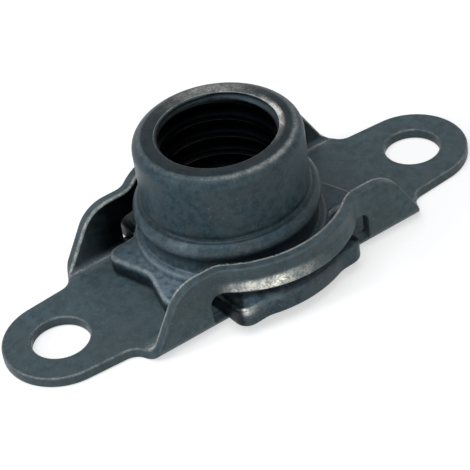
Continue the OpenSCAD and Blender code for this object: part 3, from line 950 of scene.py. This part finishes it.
def phosphated_steel(name, tone, look, blotch_scale):
    """Dark phosphated, oiled steel: mottled tone, greyer blotches, bright specks and a painted
    bluish sheen, then painted shade and bare metal of scuffed edges and painted highlights over
    them, and a fine grain."""
    material = bpy.data.materials.new(name)
    material.use_nodes = True
    tree = material.node_tree
    shader = tree.nodes["Principled BSDF"]
    place = tree.nodes.new("ShaderNodeTexCoord").outputs["Object"]
    recess = add_mask(tree, PAINTED_SHADE)
    blotches = place_group(tree, "coating_blotches", blotch_group,
                           {"Vector": place, "Scale": blotch_scale})
    grain = place_group(tree, "coating_grain", grain_group, {"Vector": place})
    worn_and_lit = place_group(tree, "worn_edges", worn_and_lit_group,
                       {"Vector": place, "Edge": add_mask(tree, WEAR_AND_HIGHLIGHT)})["Mask"]
    fine = blotches["Fine"]
    dark, light = ([part * channel for channel in tone] for part in (CLOUD_DARK, CLOUD_LIGHT))
    clouded = add_mix(tree, add_range(tree, fine, *FINE_RANGE), dark, light)
    stain = add_math(tree, "MULTIPLY", blotches["Mask"], STAIN_SHARE)
    stained = add_mix(tree, stain, clouded, look.stain_tone)
    specks = add_math(tree, "MULTIPLY", grain["Specks"], SPECK_SHARE)
    speckled = add_mix(tree, specks, stained, look.bare_tone)
    # Painted bluish sheen, uneven with the fine noise
    uneven = add_range(tree, fine, *FINE_RANGE, SHEEN_LEAST, 1.0)
    sheen_mask = add_math(tree, "MULTIPLY", add_mask(tree, PAINTED_SHEEN), uneven)
    sheened = add_mix(tree, sheen_mask, speckled, look.burnish_tone)
    # Painted shade over the tone
    shaded = add_mix(tree, recess, sheened, look.soot_tone)
    # Bare metal over everything, for the scuffed edges and the painted highlights
    tree.links.new(add_mix(tree, worn_and_lit, shaded, look.bare_tone), shader.inputs["Base Color"])
    coated = add_range(tree, fine, *FINE_RANGE, look.roughness - SMOOTHER, look.roughness + ROUGHER)
    rough = add_math(tree, "SUBTRACT", coated, add_math(tree, "MULTIPLY", worn_and_lit, BARE_SMOOTHER))
    tree.links.new(rough, shader.inputs["Roughness"])
    # Painted shade is also made metallic, so it shows only its own near-black colour
    metal = add_math(tree, "MAXIMUM", add_math(tree, "MULTIPLY", worn_and_lit, BARE_METAL), recess)
    tree.links.new(metal, shader.inputs["Metallic"])
    shader.inputs["IOR"].default_value = look.refraction
    bump = tree.nodes.new("ShaderNodeBump")
    bump.inputs["Strength"].default_value = BUMP_STRENGTH
    bump.inputs["Distance"].default_value = BUMP_DEPTH
    tree.links.new(grain["Height"], bump.inputs["Height"])
    tree.links.new(bump.outputs["Normal"], shader.inputs["Normal"])
    return material


def seen_directly(tree):
    """One for camera, glossy and transmission rays, zero for the light that falls on the part."""
    path = tree.nodes.new("ShaderNodeLightPath")
    seen = add_math(tree, "MAXIMUM", path.outputs["Is Camera Ray"], path.outputs["Is Glossy Ray"])
    return add_math(tree, "MAXIMUM", seen, path.outputs["Is Transmission Ray"])


def floor_material(stage):
    """Pale floor: matt, with some light of its own where it is seen, so only the shadow shows."""
    material = bpy.data.materials.new("studio_floor")
    material.use_nodes = True
    tree = material.node_tree
    tree.nodes.clear()
    matt = tree.nodes.new("ShaderNodeBsdfDiffuse")
    matt.inputs["Color"].default_value = (*stage.floor_tone, 1.0)
    glow = tree.nodes.new("ShaderNodeEmission")
    strength = add_math(tree, "MULTIPLY", seen_directly(tree), FLOOR_GLOW)
    tree.links.new(strength, glow.inputs["Strength"])
    both = tree.nodes.new("ShaderNodeAddShader")
    tree.links.new(matt.outputs[0], both.inputs[0])
    tree.links.new(glow.outputs[0], both.inputs[1])
    tree.links.new(both.outputs[0], tree.nodes.new("ShaderNodeOutputMaterial").inputs["Surface"])
    return material


# Stage

FLOOR_GAP = 0.02 * MM
FLOOR_RINGS = 6
FLOOR_SECTORS = 96
FLOOR_MIDDLE = 0.01


def add_floor(stage):
    """The floor: a disc just under the riveted face, on a grid of radius and angle."""
    radii = np.linspace(FLOOR_MIDDLE, 1, FLOOR_RINGS) * stage.floor_radius
    turns = np.linspace(0, 2 * math.pi, FLOOR_SECTORS, endpoint=False)
    radius, turn = np.meshgrid(radii, turns, indexing="ij")
    level = 0 * radius - FLOOR_GAP
    points = np.stack([radius * np.cos(turn), radius * np.sin(turn), level], axis=-1)
    ids = np.arange(radius.size).reshape(radius.shape)
    right = np.roll(ids, -1, axis=1)
    faces = np.stack([ids[:-1], ids[1:], right[1:], right[:-1]], axis=-1).reshape(-1, 4).tolist()
    mesh = bpy.data.meshes.new("floor")
    mesh.from_pydata(points.reshape(-1, 3).tolist(), [], faces + [ids[0].tolist()])
    mesh.materials.append(floor_material(stage))
    floor = add_object("floor", mesh)


def add_lamp(name, azimuth, elevation, distance, width, height, watts, tint):
    """A rectangular soft lamp at a bearing round the part, in degrees and metres, facing it."""
    data = bpy.data.lights.new(name, "AREA")
    data.shape = "RECTANGLE"
    data.size = width
    data.size_y = height
    data.color = tint
    data.energy = watts
    az, el = math.radians(azimuth), math.radians(elevation)
    level = distance * math.cos(el)
    place = Vector((level * math.sin(az), -level * math.cos(az), distance * math.sin(el)))
    aim = place.to_track_quat("Z", "Y").to_matrix().to_4x4()
    add_object(name, data).matrix_world = Matrix.Translation(place) @ aim


def add_camera(stage):
    """The camera: right, up and back from azimuth and elevation, rolled, and set back."""
    az, el, roll = stage.view_azimuth, stage.view_elevation, stage.view_roll
    back = Vector((math.sin(az) * math.cos(el), -math.cos(az) * math.cos(el), math.sin(el)))
    right = Vector((math.cos(az), math.sin(az), 0))
    up = back.cross(right)
    rolled_right = right * math.cos(roll) - up * math.sin(roll)
    rolled_up = right * math.sin(roll) + up * math.cos(roll)
    turned = Matrix((rolled_right, rolled_up, back)).transposed()
    place = turned @ Vector((-stage.aim_x, -stage.aim_y, stage.view_distance))
    data = bpy.data.cameras.new("photo_camera")
    data.sensor_fit = "HORIZONTAL"
    data.lens = stage.focal_pixels / IMAGE_WIDTH * data.sensor_width
    data.clip_start = MM
    data.clip_end = 5.0
    camera = add_object("photo_camera", data)
    camera.matrix_world = Matrix.Translation(place) @ turned.to_4x4()
    bpy.context.scene.camera = camera


def add_room(stage):
    """The room: dim all round, white where it is seen directly."""
    world = bpy.data.worlds.new("studio")
    bpy.context.scene.world = world
    world.use_nodes = True
    tree = world.node_tree
    tone = add_mix(tree, seen_directly(tree), stage.room_tone, (1.0, 1.0, 1.0))
    tree.links.new(tone, tree.nodes["Background"].inputs["Color"])


# Operators, panel and registration

class ANCHORNUT_OT_stage(bpy.types.Operator):
    """Set up the camera, the pale floor and the soft lamps"""

    bl_idname = "anchornut.stage"
    bl_label = "Stage"

    def execute(self, context):
        stage = context.scene.anchornut_stage
        add_camera(stage)
        add_floor(stage)
        add_room(stage)
        add_lamp("top", azimuth=-60, elevation=72, distance=0.35, width=0.34, height=0.34,
                 watts=stage.top_power, tint=(1.0, 1.0, 1.0))
        add_lamp("side", azimuth=-100, elevation=30, distance=0.3, width=0.06, height=0.06,
                 watts=stage.side_power, tint=(0.80, 0.92, 1.0))
        add_lamp("front", azimuth=-8, elevation=7, distance=0.3, width=0.2, height=0.06,
                 watts=stage.front_power, tint=(1.0, 0.95, 0.85))
        context.scene.view_settings.view_transform = "Standard"
        return {"FINISHED"}


class ANCHORNUT_OT_cage(bpy.types.Operator):
    """Fold the cage up from its blank"""

    bl_idname = "anchornut.cage"
    bl_label = "Cage"

    def execute(self, context):
        look = context.scene.anchornut_finish
        shape = cage_mesh(in_mm(context.scene.anchornut_cage))
        steel = phosphated_steel("cage_phosphate", look.cage_tone, look, BLOTCH_SCALES["cage"])
        add_piece("folded_cage", shape, steel, "cage", "cage")
        return {"FINISHED"}


class ANCHORNUT_OT_nut(bpy.types.Operator):
    """Turn the nut with its plate and thread"""

    bl_idname = "anchornut.nut"
    bl_label = "Nut"

    def execute(self, context):
        look = context.scene.anchornut_finish
        seat = context.scene.anchornut_cage.sheet / MM
        shape = nut_mesh(in_mm(context.scene.anchornut_nut), seat)
        steel = phosphated_steel("nut_phosphate", look.nut_tone, look, BLOTCH_SCALES["nut"])
        add_piece("threaded_nut", shape, steel, "nut", "nut")
        return {"FINISHED"}


OPERATORS = (ANCHORNUT_OT_stage, ANCHORNUT_OT_cage, ANCHORNUT_OT_nut)
GROUPS = {
    "anchornut_stage": StageLook,
    "anchornut_finish": FinishLook,
    "anchornut_cage": CageSizes,
    "anchornut_nut": NutSizes,
}


class ANCHORNUT_PT_panel(bpy.types.Panel):
    """The sizes, the finish and the buttons of the anchor nut"""

    bl_idname = "ANCHORNUT_PT_panel"
    bl_label = "Floating anchor nut"
    bl_space_type = "VIEW_3D"
    bl_region_type = "UI"
    bl_category = "Anchor nut"

    def draw(self, context):
        for operator in OPERATORS:
            self.layout.operator(operator.bl_idname)
        for name, group in GROUPS.items():
            box = self.layout.box()
            for prop in group.__annotations__:
                box.prop(getattr(context.scene, name), prop)


CLASSES = (*GROUPS.values(), *OPERATORS, ANCHORNUT_PT_panel)


def register():
    """Registers the classes and gives every scene the groups of values."""
    for cls in CLASSES:
        bpy.utils.register_class(cls)
    for name, group in GROUPS.items():
        setattr(bpy.types.Scene, name, PointerProperty(type=group))


def unregister():
    """Takes the groups and the classes away again."""
    for name in GROUPS:
        delattr(bpy.types.Scene, name)
    for cls in reversed(CLASSES):
        bpy.utils.unregister_class(cls)


def main():
    """Registers the add-on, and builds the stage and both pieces."""
    register()
    bpy.ops.anchornut.stage()
    bpy.ops.anchornut.cage()
    bpy.ops.anchornut.nut()


if __name__ == "__main__":
    main()
